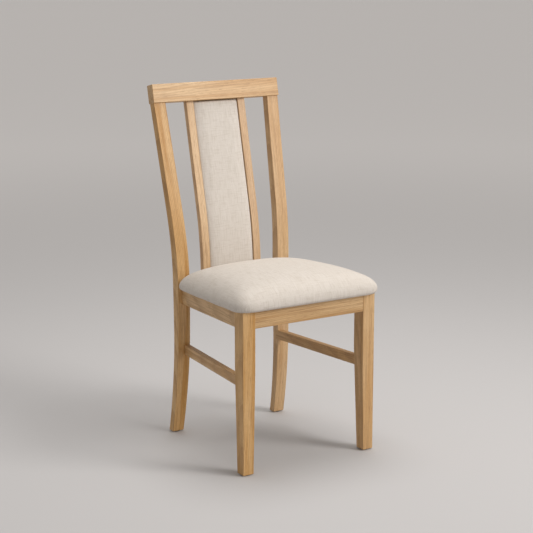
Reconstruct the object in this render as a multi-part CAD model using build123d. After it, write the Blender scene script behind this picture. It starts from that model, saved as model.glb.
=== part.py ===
"""Dining chair: oak frame with tenoned joints, padded panel between two back stiles, drop-on seat pad.

Millimetres, +Z up, the chair faces -Y. It is drawn from the middle of the front legs' front face, and the
finished pieces are then moved together so that the origin is the bottom centre of the whole chair.
"""

import os
from math import atan, atan2, cos, degrees, hypot, radians, sin

from build123d import *

# Front legs
FRONT_WIDTH = 415.0  # over the outer faces of the front legs
LEG_WIDTH, LEG_DEPTH = 37.5, 41.5  # section above the taper
LEG_FOOT_WIDTH, LEG_FOOT_DEPTH = 31.5, 31.0
LEG_TAPER_Z, LEG_TAPER_RADIUS = 286.0, 900.0  # the inner faces taper below this height, after a soft bend

# Rear posts
FRAME_DEPTH = 384.0  # front legs' front face to rear posts' front face at the seat
POST_DEPTH = 29.0  # front to back at the seat
POST_FLAT_Z = 440.0  # the front edge is upright from the foot's curve up to the back's curve here
POST_TOP_RADIUS, BACK_LEAN = 898.0, 12.87  # curve above the seat, then a straight lean in degrees
POST_FOOT_RADIUS, POST_FOOT_Z = 1410.0, 299.0  # the foot sweeps back below this height
POST_FOOT_DEPTH = 23.0
POST_BACK_CURVE_Z, POST_BACK_RADIUS, POST_BACK_LEAN = 452.0, 880.0, 12.4
POST_HOLLOW = ((27.2, 360.0), (24.8, 260.0), (34.4, 122.0))  # back edge behind FRAME_DEPTH, and its height
POST_FOOT_SLOPE = 0.26  # how fast the back edge runs backwards at the floor
POST_FOOT_OUT, POST_SEAT_OUT, POST_CREST_OUT = 186.5, 181.5, 201.0  # outer half-widths
POST_FOOT_WIDTH, POST_WIDTH, POST_CREST_WIDTH = 34.0, 38.0, 36.0
POST_TAPER_Z = 250.0  # in front view the inner edge tapers towards the foot below this height
POST_BEND_RADIUS = 3000.0  # easing of the bends in front view

# Crest
CREST_Z, CREST_Y = 981.0, 480.0  # top front edge
CREST_LEAN = 12.7
CREST_HALF, CREST_HEIGHT, CREST_DEPTH = 202.5, 51.0, 30.5
CREST_PROUD, POST_CREST_DEPTH = 3.4, 24.0  # the crest stands ahead of the posts, which are thinner here

# Stiles and back panel, set back from the posts' front face
STILE_OUT, STILE_WIDTH = 94.5, 23.0
STILE_SETBACK, STILE_DEPTH = 10.0, 17.0
PANEL_BOARD_SETBACK, PANEL_BOARD_THICK, PANEL_TONGUE = 16.5, 6.0, 6.0
PANEL_FOAM_SETBACK, PANEL_SIDE_GAP = 5.0, 0.8
PANEL_BOTTOM_Z = 430.0

# Seat frame
SEAT_FRONT_Z, SEAT_RAKE = 439.5, 0.0406  # seat plane's height at y = 0, and its fall per millimetre back
RAIL_HEIGHT, RAIL_THICK = 44.5, 22.0
FRONT_RAIL_SETBACK, SIDE_RAIL_INSET, SIDE_RAIL_REAR_INSET = 1.0, 2.0, 12.0
REAR_RAIL_SETBACK = 5.0
STRETCHER_TOP_Z, STRETCHER_HEIGHT, STRETCHER_THICK = 260.0, 27.0, 17.0
STRETCHER_INSET, STRETCHER_REAR_INSET = 10.0, 18.5

# Joints
TENON_THICK, TENON_LENGTH, REAR_TENON_LENGTH, TENON_SHOULDER = 10.0, 20.0, 14.0, 7.0
SIDE_TENON_SHARE, SIDE_SHOULDER_SHARE = 0.45, 0.17  # of a side bar's thickness, and of its height
STRETCHER_TENON_LENGTH, STRETCHER_REAR_TENON_LENGTH = 16.0, 14.0
FRONT_SCRIBE, REAR_SCRIBE = 5.0, 9.0  # bars reach this far into leg and post before they are cut to their faces
FRONT_TENON_FORWARD, FRONT_TENON_TOP = 1.0, 10.0
REAR_RAIL_TENON_THICK, REAR_RAIL_TENON_GAP, REAR_RAIL_TENON_TOP = 8.0, 2.0, 30.0
REAR_RAIL_TENON_LENGTH = 17.0
TOP_TENON_WIDTH, TOP_TENON_THICK, TOP_TENON_LENGTH = 20.0, 10.0, 26.0
STILE_TENON_WIDTH, STILE_TENON_THICK, STILE_TENON_LENGTH = 15.0, 8.0, 18.0
STILE_TENON_ROOT = 5.0  # how far a stile's lower tenon starts inside the stile
ARRIS, FOOT_CHAMFER = 1.3, 0.8  # rounding of the long edges, and the bevel round each foot

# Seat pad, measured in the raked seat plane
PAD_FRONT_HALF, PAD_REAR_HALF = 221.0, 184.5  # outline where it meets the rails
PAD_FRONT_Y, PAD_REAR_Y = -8.0, 371.0
PAD_FRONT_CORNER, PAD_REAR_CORNER = 36.0, 26.0
PAD_BULGE = 12.0  # how far the sides swell past that outline
PAD_EDGE_HEIGHT, PAD_CROWN = 45.0, 38.0  # height at the outline before rounding, and the dome's rise above it
PAD_CROWN_POWER = 3.0  # a higher power gives a flatter middle
PAD_UPPER_ROUND, PAD_LOWER_ROUND = 30.0, 12.0
BOARD_THICK, BOARD_INSET, FABRIC = 12.0, 4.0, 1.4
HEM_WIDTH, DUST_CLOTH_THICK, DUST_CLOTH_INSET = 72.0, 0.8, 64.0
SMALLEST_CORNER = 6.0

# Corner blocks and hardware
BLOCK_LEG, BLOCK_THICK, BLOCK_DROP = 78.0, 25.0, 3.0
BLOCK_SPARE, BLOCK_FLAT = 12.0, 4.0  # wood that the side rail cuts away, and the blunt ends
BLOCK_SCREW_LENGTH, BLOCK_SCREW_START = 41.0, 28.0  # the head sits this far from the rail's face
BLOCK_SCREW_ROOM, SCREW_ROOM_GAP = 45.0, 0.5  # length and clearance of the bore behind a head
SIDE_SCREW_ALONG, END_SCREW_ALONG = 42.0, 50.0  # from the block's square corner
SEAT_SCREW_LENGTH, SEAT_SCREW_ROOM = 32.0, 10.0
SEAT_SCREW_ACROSS, SEAT_SCREW_ALONG = 35.0, 29.0
SCREW_RADIUS, SCREW_HEAD_RADIUS, SCREW_HEAD = 2.0, 4.0, 2.5
STAPLE_WIDTH, STAPLE_WIRE, STAPLE_LEG = 10.0, 1.1, 8.0
STAPLE_INSET, STAPLE_PITCH = 68.0, 52.0
GLIDE_RADIUS, GLIDE_THICK, GLIDE_PIN_RADIUS, GLIDE_PIN = 10.0, 3.0, 1.5, 14.0
GLIDE_BEVEL = 0.8

REACH = 1200.0  # longer than the chair in any direction
OVERLENGTH = 10.0  # left on a blank before it is cut to a sloping plane
FRONT_HALF = FRONT_WIDTH / 2
LEAN_POINT = (POST_TOP_RADIUS, POST_FLAT_Z)  # centre of the back's curve, behind the posts' front face

crest_place = Pos(0, CREST_Y, CREST_Z) * Rot(-CREST_LEAN, 0, 0)
seat_place = Pos(0, 0, SEAT_FRONT_Z) * Rot(-degrees(atan(SEAT_RAKE)), 0, 0)


def slab(x0, x1, y0, y1, z0, z1):
    """A box between two corners."""
    return Pos((x0 + x1) / 2, (y0 + y1) / 2, (z0 + z1) / 2) * Box(x1 - x0, y1 - y0, z1 - z0)


def two_way_blank(side_outline, front_outline):
    """A piece sawn to one outline seen from the side (y, z) and to another seen from the front (x, z)."""
    side = extrude(Plane.YZ * make_face(side_outline), REACH, both=True)
    front = extrude(Plane.XZ * make_face(front_outline), REACH, both=True)
    return side & front


def mirrored(shape):
    return mirror(shape, Plane.YZ)


def eased(shape, radius=ARRIS):
    """Rounds the edges that run along the piece, leaving the ends square."""
    size = shape.bounding_box().size
    along = max((size.X, Axis.X), (size.Y, Axis.Y), (size.Z, Axis.Z), key=lambda pair: pair[0])[1]
    lengthwise = [edge for edge in shape.edges() if abs((edge % 0.5).dot(along.direction)) > 0.8]
    return fillet(lengthwise, radius)


def seat_plane_z(y):
    return SEAT_FRONT_Z - SEAT_RAKE * y


def back_strip(front, back, low_z, high=REACH):
    """Side outline of a strip along the back's curve, between two setbacks from the posts' front face."""
    centre_y, centre_z = FRAME_DEPTH + LEAN_POINT[0], LEAN_POINT[1]

    def at(setback, angle, along=0.0):
        reach = POST_TOP_RADIUS - setback
        y = centre_y - reach * cos(radians(angle)) + along * sin(radians(angle))
        return (y, centre_z + reach * sin(radians(angle)) + along * cos(radians(angle)))

    def arc(setback):
        return ThreePointArc(at(setback, 0), at(setback, BACK_LEAN / 2), at(setback, BACK_LEAN))

    low_front, low_back = (FRAME_DEPTH + front, low_z), (FRAME_DEPTH + back, low_z)
    top_front, top_back = at(front, BACK_LEAN, high), at(back, BACK_LEAN, high)
    return [
        Line(low_front, at(front, 0)),
        arc(front),
        Line(at(front, BACK_LEAN), top_front),
        Line(top_front, top_back),
        Line(top_back, at(back, BACK_LEAN)),
        arc(back),
        Line(at(back, 0), low_back),
        Line(low_back, low_front),
    ]


def post_foot_front():
    """How far back the post's front edge is at the floor."""
    return FRAME_DEPTH + POST_FOOT_RADIUS - (POST_FOOT_RADIUS**2 - POST_FOOT_Z**2) ** 0.5


def post_foot_middle():
    return post_foot_front() + POST_FOOT_DEPTH / 2


def post_side_outline():
    """Rear post from the side: the foot sweeps back, the seat part is upright and the back leans."""
    foot_y = post_foot_front()
    half_turn = atan(POST_FOOT_Z / POST_FOOT_RADIUS) / 2
    middle = (
        FRAME_DEPTH + POST_FOOT_RADIUS * (1 - cos(half_turn)),
        POST_FOOT_Z - POST_FOOT_RADIUS * sin(half_turn),
    )
    front = back_strip(0, POST_DEPTH, POST_FOOT_Z)[:3]
    top = front[-1] @ 1
    seat_back = FRAME_DEPTH + POST_DEPTH
    lean = radians(POST_BACK_LEAN)
    curve_top = (
        seat_back + POST_BACK_RADIUS * (1 - cos(lean)),
        POST_BACK_CURVE_Z + POST_BACK_RADIUS * sin(lean),
    )
    curve_middle = (
        seat_back + POST_BACK_RADIUS * (1 - cos(lean / 2)),
        POST_BACK_CURVE_Z + POST_BACK_RADIUS * sin(lean / 2),
    )
    back_top = (curve_top[0] + REACH * sin(lean), curve_top[1] + REACH * cos(lean))
    hollow = Spline(
        (seat_back, POST_BACK_CURVE_Z),
        *[(FRAME_DEPTH + behind, height) for behind, height in POST_HOLLOW],
        (foot_y + POST_FOOT_DEPTH, 0),
        tangents=[(0, -1), (POST_FOOT_SLOPE, -1)],
    )
    return [
        ThreePointArc((foot_y, 0), middle, (FRAME_DEPTH, POST_FOOT_Z)),
        *front,
        Line(top, back_top),
        Line(back_top, curve_top),
        ThreePointArc(curve_top, curve_middle, (seat_back, POST_BACK_CURVE_Z)),
        hollow,
        Line((foot_y + POST_FOOT_DEPTH, 0), (foot_y, 0)),
    ]


def post_front_outline():
    """Right rear post from the front: nearly upright below the seat, splayed above it, tapered to the foot."""
    crest_low_z = CREST_Z - CREST_HEIGHT
    splay = (POST_CREST_OUT - POST_SEAT_OUT) / (crest_low_z - POST_FLAT_Z)
    inner_splay = splay + (POST_WIDTH - POST_CREST_WIDTH) / (crest_low_z - POST_FLAT_Z)
    top_out = POST_SEAT_OUT + splay * (REACH - POST_FLAT_Z)
    top_in = POST_SEAT_OUT - POST_WIDTH + inner_splay * (REACH - POST_FLAT_Z)
    taper_out = POST_FOOT_OUT + (POST_SEAT_OUT - POST_FOOT_OUT) * POST_TAPER_Z / POST_FLAT_Z
    outer = FilletPolyline(
        (POST_FOOT_OUT, 0), (POST_SEAT_OUT, POST_FLAT_Z), (top_out, REACH), radius=POST_BEND_RADIUS
    )
    inner = FilletPolyline(
        (top_in, REACH),
        (POST_SEAT_OUT - POST_WIDTH, POST_FLAT_Z),
        (taper_out - POST_WIDTH, POST_TAPER_Z),
        (POST_FOOT_OUT - POST_FOOT_WIDTH, 0),
        radius=POST_BEND_RADIUS,
    )
    return [outer, Line(outer @ 1, inner @ 0), inner, Line(inner @ 1, outer @ 0)]


def under_crest(shape):
    """Trims a shape square to the crest's underside."""
    return shape - crest_place * slab(-REACH, REACH, -REACH, REACH, -CREST_HEIGHT, REACH)


def under_seat_plane(shape):
    return shape - seat_place * slab(-REACH, REACH, -REACH, REACH, 0, REACH)


def clear_of_floor(shape):
    """Cuts a leg off square above its glide, with a small chamfer round the foot."""
    shape -= slab(-REACH, REACH, -REACH, REACH, -REACH, GLIDE_THICK)
    return chamfer(shape.faces().sort_by(Axis.Z)[0].edges(), FOOT_CHAMFER)


def post_blank():
    blank = under_crest(two_way_blank(post_side_outline(), post_front_outline()))
    return clear_of_floor(eased(blank))


def crest_tenon(x, setback, depth, width, thick, length):
    """Tenon standing up into the crest at x, centred in a piece set back behind the posts' front."""
    middle = CREST_PROUD + setback + depth / 2
    low, high = -CREST_HEIGHT, -CREST_HEIGHT + length
    return crest_place * slab(
        x - width / 2, x + width / 2, middle - thick / 2, middle + thick / 2, low, high
    )


def front_leg_blank():
    """Right front leg: outer faces upright, inner faces tapered towards the foot."""
    top = SEAT_FRONT_Z + OVERLENGTH

    def outline(outer, inner, foot):
        taper = FilletPolyline((inner, top), (inner, LEG_TAPER_Z), (foot, 0), radius=LEG_TAPER_RADIUS)
        return [taper, Polyline((foot, 0), (outer, 0), (outer, top), (inner, top))]

    front = outline(FRONT_HALF, FRONT_HALF - LEG_WIDTH, FRONT_HALF - LEG_FOOT_WIDTH)
    side_view = outline(0, LEG_DEPTH, LEG_FOOT_DEPTH)
    return under_seat_plane(clear_of_floor(eased(two_way_blank(side_view, front))))


def side_bar(front_out, rear_out, thick, low, high, y0, y1, drop):
    """Right-hand bar, slanted in plan between two outer half-widths and falling by drop per millimetre."""
    fall = (rear_out - front_out) / (FRAME_DEPTH - LEG_DEPTH)
    across = thick * hypot(1, fall)

    def out_at(y):
        return front_out + fall * (y - LEG_DEPTH)

    plan = Polyline(
        (out_at(y0), y0), (out_at(y1), y1), (out_at(y1) - across, y1), (out_at(y0) - across, y0), close=True
    )
    side = Polyline(
        (y0, low - drop * y0),
        (y0, high - drop * y0),
        (y1, high - drop * y1),
        (y1, low - drop * y1),
        close=True,
    )
    return extrude(make_face(plan), REACH) & extrude(Plane.YZ * make_face(side), REACH, both=True)


def jointed_side_bar(front_out, rear_out, thick, low, high, drop, leg, post, lengths):
    """A side bar scribed to leg and post, with a tenon at each end. Returns the bar and its two tenons."""
    scribed = (LEG_DEPTH - FRONT_SCRIBE, FRAME_DEPTH + REAR_SCRIBE)
    body = eased(side_bar(front_out, rear_out, thick, low, high, *scribed, drop)) - leg - post
    core_thick = thick * SIDE_TENON_SHARE
    inset, shoulder = (thick - core_thick) / 2, (high - low) * SIDE_SHOULDER_SHARE
    outs = (front_out - inset, rear_out - inset)
    heights = (low + shoulder, high - shoulder)
    ends = (LEG_DEPTH - lengths[0], FRAME_DEPTH + lengths[1])
    core = side_bar(*outs, core_thick, *heights, *ends, drop)
    front_tenon, rear_tenon = core & leg, core & post
    return body + front_tenon + rear_tenon, front_tenon, rear_tenon


def pad_outline(grow=0.0):
    """Plan outline of the seat pad with rounded corners, grown outwards by grow."""
    front, rear = PAD_FRONT_HALF + grow, PAD_REAR_HALF + grow
    y0, y1 = PAD_FRONT_Y - grow, PAD_REAR_Y + grow
    face = make_face(Polyline((-front, y0), (front, y0), (rear, y1), (-rear, y1), close=True))
    front_corner = max(PAD_FRONT_CORNER + grow, SMALLEST_CORNER)
    rear_corner = max(PAD_REAR_CORNER + grow, SMALLEST_CORNER)
    face = fillet(face.vertices().group_by(Axis.Y)[0], front_corner)
    return fillet(face.vertices().group_by(Axis.Y)[-1], rear_corner)


def above_crown(sink):
    """Everything above the pad's domed top, lowered by sink."""
    middle_y, half_y = (PAD_FRONT_Y + PAD_REAR_Y) / 2, (PAD_REAR_Y - PAD_FRONT_Y) / 2 + PAD_BULGE
    half_x = PAD_FRONT_HALF + PAD_BULGE
    steps = [number / 10 for number in range(-11, 12)]

    def height(across, along):
        dome = (1 - abs(across) ** PAD_CROWN_POWER) * (1 - abs(along) ** PAD_CROWN_POWER)
        return PAD_EDGE_HEIGHT - sink + PAD_CROWN * max(dome, 0)

    grid = [
        [Vector(across * half_x, middle_y + along * half_y, height(across, along)) for along in steps]
        for across in steps
    ]
    surface = Face.make_surface_from_array_of_points(grid, tol=0.05)
    return extrude(surface, REACH, dir=(0, 0, 1))


def pad_block(inside=0.0):
    """The crowned pad above the seat plane, or the same shape everywhere deeper by inside."""
    outline = pad_outline(PAD_BULGE - inside)
    block = Pos(0, 0, inside) * extrude(outline, PAD_EDGE_HEIGHT + 2 * PAD_CROWN) - above_crown(inside)
    block = fillet(block.faces().sort_by(Axis.Z)[-1].edges(), PAD_UPPER_ROUND - inside)
    return fillet(block.faces().sort_by(Axis.Z)[0].edges(), PAD_LOWER_ROUND - inside)


def seat_pad():
    """Board, foam, cover with its edge turned under, and dust cloth, all in the seat plane's own axes."""
    board_top = FABRIC + BOARD_THICK
    board = Pos(0, 0, FABRIC) * extrude(pad_outline(-BOARD_INSET), BOARD_THICK)
    outside, inside = pad_block(), pad_block(FABRIC)
    opening = Pos(0, 0, -1) * extrude(pad_outline(-BOARD_INSET - HEM_WIDTH), 1 + FABRIC)
    foam = inside - extrude(pad_outline(-BOARD_INSET), board_top)
    cover = outside - inside - opening
    cloth = Pos(0, 0, -DUST_CLOTH_THICK) * extrude(pad_outline(-DUST_CLOTH_INSET), DUST_CLOTH_THICK)
    return board, foam, cover, cloth


def staples():
    """Staples round the cover's turned-under edge, driven up through the cloth into the board."""
    path = pad_outline(-STAPLE_INSET).face().outer_wire()
    count = round(path.length / STAPLE_PITCH)
    half = (STAPLE_WIDTH - STAPLE_WIRE) / 2
    staple = Pos(0, 0, -DUST_CLOTH_THICK - STAPLE_WIRE / 2) * Box(STAPLE_WIDTH, STAPLE_WIRE, STAPLE_WIRE)
    leg = Pos(0, 0, STAPLE_LEG / 2 - DUST_CLOTH_THICK) * Box(STAPLE_WIRE, STAPLE_WIRE, STAPLE_LEG)
    for side in (-half, half):
        staple += Pos(side, 0, 0) * leg
    placed = []
    for number in range(count):
        share = (number + 0.5) / count
        point, along = path.position_at(share), path.tangent_at(share)
        turn = degrees(atan2(along.Y, along.X))
        placed.append(Pos(point.X, point.Y, 0) * Rot(0, 0, turn) * staple)
    return placed


def screw(length):
    """Pan-head screw along +Z, with the underside of its head at z = 0."""
    shank = Pos(0, 0, length / 2) * Cylinder(SCREW_RADIUS, length)
    return shank + Pos(0, 0, -SCREW_HEAD / 2) * Cylinder(SCREW_HEAD_RADIUS, SCREW_HEAD)


def screw_hole(length, room):
    """The pilot hole of a screw and the wider room behind its head."""
    shank = Pos(0, 0, length / 2) * Cylinder(SCREW_RADIUS, length)
    return shank + Pos(0, 0, -room / 2) * Cylinder(SCREW_HEAD_RADIUS + SCREW_ROOM_GAP, room)


def corner_block(corner_x, corner_y, step):
    """Triangular block under the seat plane, its square corner at (corner_x, corner_y), reaching step along y."""
    outline = Polyline(
        (corner_x + BLOCK_SPARE, corner_y - BLOCK_FLAT * step),
        (corner_x - BLOCK_LEG, corner_y - BLOCK_FLAT * step),
        (corner_x - BLOCK_LEG, corner_y + BLOCK_FLAT * step),
        (corner_x - BLOCK_FLAT, corner_y + BLOCK_LEG * step),
        (corner_x + BLOCK_SPARE, corner_y + BLOCK_LEG * step),
        close=True,
    )
    block = extrude(make_face(outline), BLOCK_THICK, dir=(0, 0, 1))
    return seat_place * Pos(0, 0, -BLOCK_DROP - BLOCK_THICK) * block


def block_screw_places(corner_x, corner_y, step):
    """Where a block's two screws start: one runs into the side rail, one into the front or rear rail."""
    height = -BLOCK_DROP - BLOCK_THICK / 2
    into_side = Pos(corner_x - BLOCK_SCREW_START, corner_y + SIDE_SCREW_ALONG * step, height)
    into_end = Pos(corner_x - END_SCREW_ALONG, corner_y + BLOCK_SCREW_START * step, height)
    return [seat_place * into_side * Rot(0, 90, 0), seat_place * into_end * Rot(90 * step, 0, 0)]


def seat_screw_place(corner_x, corner_y, step):
    """Where the screw that holds the pad down through a block starts."""
    height = -BLOCK_DROP - BLOCK_THICK + SCREW_HEAD
    return seat_place * Pos(corner_x - SEAT_SCREW_ACROSS, corner_y + SEAT_SCREW_ALONG * step, height)


def floor_glide(x, y):
    """Nail-on glide: a disc under the foot and the pin that holds it."""
    disc = Pos(x, y, GLIDE_THICK / 2) * Cylinder(GLIDE_RADIUS, GLIDE_THICK)
    disc = chamfer(disc.edges().sort_by(Axis.Z)[0], GLIDE_BEVEL)
    return disc + Pos(x, y, GLIDE_THICK + GLIDE_PIN / 2) * Cylinder(GLIDE_PIN_RADIUS, GLIDE_PIN)


def top_rail_board():
    board = slab(-CREST_HALF, CREST_HALF, 0, CREST_DEPTH, -CREST_HEIGHT, 0)
    return crest_place * fillet(board.edges(), ARRIS)


def rear_rail_bar(inner_x):
    """Rear rail between the posts, its tenons behind the side rails' tenons."""
    y0 = FRAME_DEPTH + REAR_RAIL_SETBACK
    y1 = y0 + RAIL_THICK
    low, high = seat_plane_z(y0) - RAIL_HEIGHT, SEAT_FRONT_Z
    half = inner_x + REAR_SCRIBE
    bar = under_seat_plane(slab(-half, half, y0, y1, low, high))
    tenon_y = FRAME_DEPTH + REAR_TENON_LENGTH + REAR_RAIL_TENON_GAP
    reach = inner_x + REAR_RAIL_TENON_LENGTH
    top = high - REAR_RAIL_TENON_TOP
    tenon = slab(-reach, reach, tenon_y, tenon_y + REAR_RAIL_TENON_THICK, low + TENON_SHOULDER, top)
    return bar, tenon


def front_rail_bar(inner_x):
    y0 = FRONT_RAIL_SETBACK
    y1, low = y0 + RAIL_THICK, seat_plane_z(LEG_DEPTH) - RAIL_HEIGHT
    bar = under_seat_plane(eased(slab(-inner_x, inner_x, y0, y1, low, SEAT_FRONT_Z + OVERLENGTH)))
    reach, middle = inner_x + TENON_LENGTH, (y0 + y1) / 2 - FRONT_TENON_FORWARD
    half = TENON_THICK / 2
    top = SEAT_FRONT_Z - FRONT_TENON_TOP
    tenon = slab(-reach, reach, middle - half, middle + half, low + TENON_SHOULDER, top)
    return bar, tenon


def back_panel():
    """Curved board in grooves, and the padding and covers on it."""
    half = STILE_OUT - STILE_WIDTH
    board_back = PANEL_BOARD_SETBACK + PANEL_BOARD_THICK
    tongue_top = crest_place * slab(-REACH, REACH, -REACH, REACH, PANEL_TONGUE - CREST_HEIGHT, REACH)

    def layer(front, back, half_width, low):
        outline = back_strip(front, back, low)
        return extrude(Plane.YZ * make_face(outline), half_width, both=True)

    rail_top = seat_plane_z(FRAME_DEPTH + board_back)
    board = layer(PANEL_BOARD_SETBACK, board_back, half + PANEL_TONGUE, rail_top - PANEL_TONGUE)
    board -= tongue_top
    cover_half = half - PANEL_SIDE_GAP
    cover_high = -PANEL_SIDE_GAP - CREST_HEIGHT
    cover_top = crest_place * slab(-REACH, REACH, -REACH, REACH, cover_high, REACH)
    foam_top = crest_place * slab(-REACH, REACH, -REACH, REACH, cover_high - FABRIC, REACH)
    outside = layer(PANEL_FOAM_SETBACK, PANEL_BOARD_SETBACK, cover_half, PANEL_BOTTOM_Z) - cover_top
    foam = layer(
        PANEL_FOAM_SETBACK + FABRIC, PANEL_BOARD_SETBACK, cover_half - FABRIC, PANEL_BOTTOM_Z + FABRIC
    )
    foam -= foam_top
    rear_cover = layer(board_back, board_back + FABRIC, cover_half, PANEL_BOTTOM_Z) - cover_top
    return board, foam, outside - foam, rear_cover


def build():
    """All pieces by name, in the axes that the chair is drawn in."""
    parts = {}
    leg, post = front_leg_blank(), post_blank()
    crest = top_rail_board()
    inner_x = POST_SEAT_OUT - POST_WIDTH

    rail_low, rail_high = SEAT_FRONT_Z - RAIL_HEIGHT, SEAT_FRONT_Z
    rail_outs = (FRONT_HALF - SIDE_RAIL_INSET, POST_SEAT_OUT - SIDE_RAIL_REAR_INSET)
    side_rail = jointed_side_bar(
        *rail_outs, RAIL_THICK, rail_low, rail_high, SEAT_RAKE, leg, post, (TENON_LENGTH, REAR_TENON_LENGTH)
    )
    stretcher_outs = (FRONT_HALF - STRETCHER_INSET, POST_SEAT_OUT - STRETCHER_REAR_INSET)
    stretcher_low = STRETCHER_TOP_Z - STRETCHER_HEIGHT
    stretcher_tenons = (STRETCHER_TENON_LENGTH, STRETCHER_REAR_TENON_LENGTH)
    stretcher = jointed_side_bar(
        *stretcher_outs, STRETCHER_THICK, stretcher_low, STRETCHER_TOP_Z, 0, leg, post, stretcher_tenons
    )
    front_rail, front_tenon = front_rail_bar(FRONT_HALF - LEG_WIDTH)
    front_rail += front_tenon
    rear_bar, rear_tenon = rear_rail_bar(inner_x)
    rear_rail = rear_bar - post - mirrored(post) + rear_tenon

    crest_low_x = (POST_CREST_OUT - POST_CREST_WIDTH / 2, STILE_OUT - STILE_WIDTH / 2)
    post_tenon = crest_tenon(
        crest_low_x[0], 0, POST_CREST_DEPTH, TOP_TENON_WIDTH, TOP_TENON_THICK, TOP_TENON_LENGTH
    )
    stile_tenon = crest_tenon(
        crest_low_x[1], STILE_SETBACK, STILE_DEPTH, STILE_TENON_WIDTH, STILE_TENON_THICK, STILE_TENON_LENGTH
    )
    low = seat_plane_z(FRAME_DEPTH) - OVERLENGTH
    stile_outline = back_strip(STILE_SETBACK, STILE_SETBACK + STILE_DEPTH, low)
    stile_plane = Plane.YZ.offset(STILE_OUT - STILE_WIDTH)
    stile = under_crest(eased(extrude(stile_plane * make_face(stile_outline), STILE_WIDTH)))
    stile -= seat_place * slab(-REACH, REACH, -REACH, REACH, -REACH, 0)
    foot_middle = FRAME_DEPTH + STILE_SETBACK + STILE_DEPTH / 2
    stile_foot = slab(
        crest_low_x[1] - STILE_TENON_WIDTH / 2,
        crest_low_x[1] + STILE_TENON_WIDTH / 2,
        foot_middle - STILE_TENON_THICK / 2,
        foot_middle + STILE_TENON_THICK / 2,
        seat_plane_z(foot_middle) - STILE_TENON_LENGTH,
        seat_plane_z(foot_middle) + STILE_TENON_ROOT,
    )
    panel_board, panel_foam, panel_cover, rear_cover = back_panel()
    stile = stile + stile_tenon + stile_foot - panel_board

    post = post + post_tenon - side_rail[2] - stretcher[2] - rear_tenon
    leg = leg - side_rail[1] - stretcher[1] - front_tenon
    rear_rail = rear_rail - stile_foot - mirrored(stile_foot) - panel_board
    crest = crest - post_tenon - mirrored(post_tenon) - stile_tenon - mirrored(stile_tenon) - panel_board

    board, foam, cover, cloth = (seat_place * piece for piece in seat_pad())
    staple_group = [seat_place * piece for piece in staples()]

    front_corner = (FRONT_HALF - SIDE_RAIL_INSET - RAIL_THICK, FRONT_RAIL_SETBACK + RAIL_THICK, 1)
    rear_corner = (POST_SEAT_OUT - SIDE_RAIL_REAR_INSET - RAIL_THICK, FRAME_DEPTH + REAR_RAIL_SETBACK, -1)
    rail = side_rail[0]
    block_screws, seat_screws = [], []
    for name, corner, end_rail in (("front", front_corner, front_rail), ("rear", rear_corner, rear_rail)):
        block = corner_block(*corner) - rail - end_rail - leg - post
        for place in block_screw_places(*corner):
            hole = place * screw_hole(BLOCK_SCREW_LENGTH, BLOCK_SCREW_ROOM)
            piece = place * screw(BLOCK_SCREW_LENGTH)
            block -= hole
            rail -= piece
            end_rail = end_rail - piece - mirrored(piece)
            block_screws += [piece, mirrored(piece)]
        place = seat_screw_place(*corner)
        piece = place * screw(SEAT_SCREW_LENGTH)
        block -= place * screw_hole(SEAT_SCREW_LENGTH, SEAT_SCREW_ROOM)
        board = board - piece - mirrored(piece)
        cover = cover - piece - mirrored(piece)
        seat_screws += [piece, mirrored(piece)]
        parts[f"corner_block_{name}_right"] = block
        parts[f"{name}_rail"] = end_rail

    for piece in staple_group:
        board -= piece
        cover -= piece
        cloth -= piece

    glide_places = [
        (FRONT_HALF - LEG_FOOT_WIDTH / 2, LEG_FOOT_DEPTH / 2),
        (POST_FOOT_OUT - POST_FOOT_WIDTH / 2, post_foot_middle()),
    ]
    glides = []
    for x, y in glide_places:
        glide = floor_glide(x, y)
        glides += [glide, mirrored(glide)]
        leg -= glide
        post -= glide

    parts |= {"front_leg_right": leg, "rear_post_right": post, "back_stile_right": stile}
    parts |= {"side_rail_right": rail, "side_stretcher_right": stretcher[0]}
    for name in list(parts):
        if name.endswith("_right"):
            parts[name.replace("_right", "_left")] = mirrored(parts[name])
    parts |= {"top_rail": crest, "back_panel_board": panel_board, "back_panel_foam": panel_foam}
    parts |= {"back_panel_cover": panel_cover, "back_panel_rear_cover": rear_cover}
    parts |= {"seat_board": board, "seat_foam": foam, "seat_cover": cover, "seat_dust_cloth": cloth}
    parts |= {"corner_block_screws": Compound(block_screws), "seat_screws": Compound(seat_screws)}
    parts |= {"cover_staples": Compound(staple_group), "floor_glides": Compound(glides)}
    return parts


def main():
    parts = build()
    whole = Compound(list(parts.values())).bounding_box()
    home = Pos(-whole.center().X, -whole.center().Y, -whole.min.Z)
    os.makedirs("parts", exist_ok=True)
    for name, shape in sorted(parts.items()):
        export_step(home * shape, f"parts/{name}.step")
    print("moved by", home.position, "overall", whole.size)


main()
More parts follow.
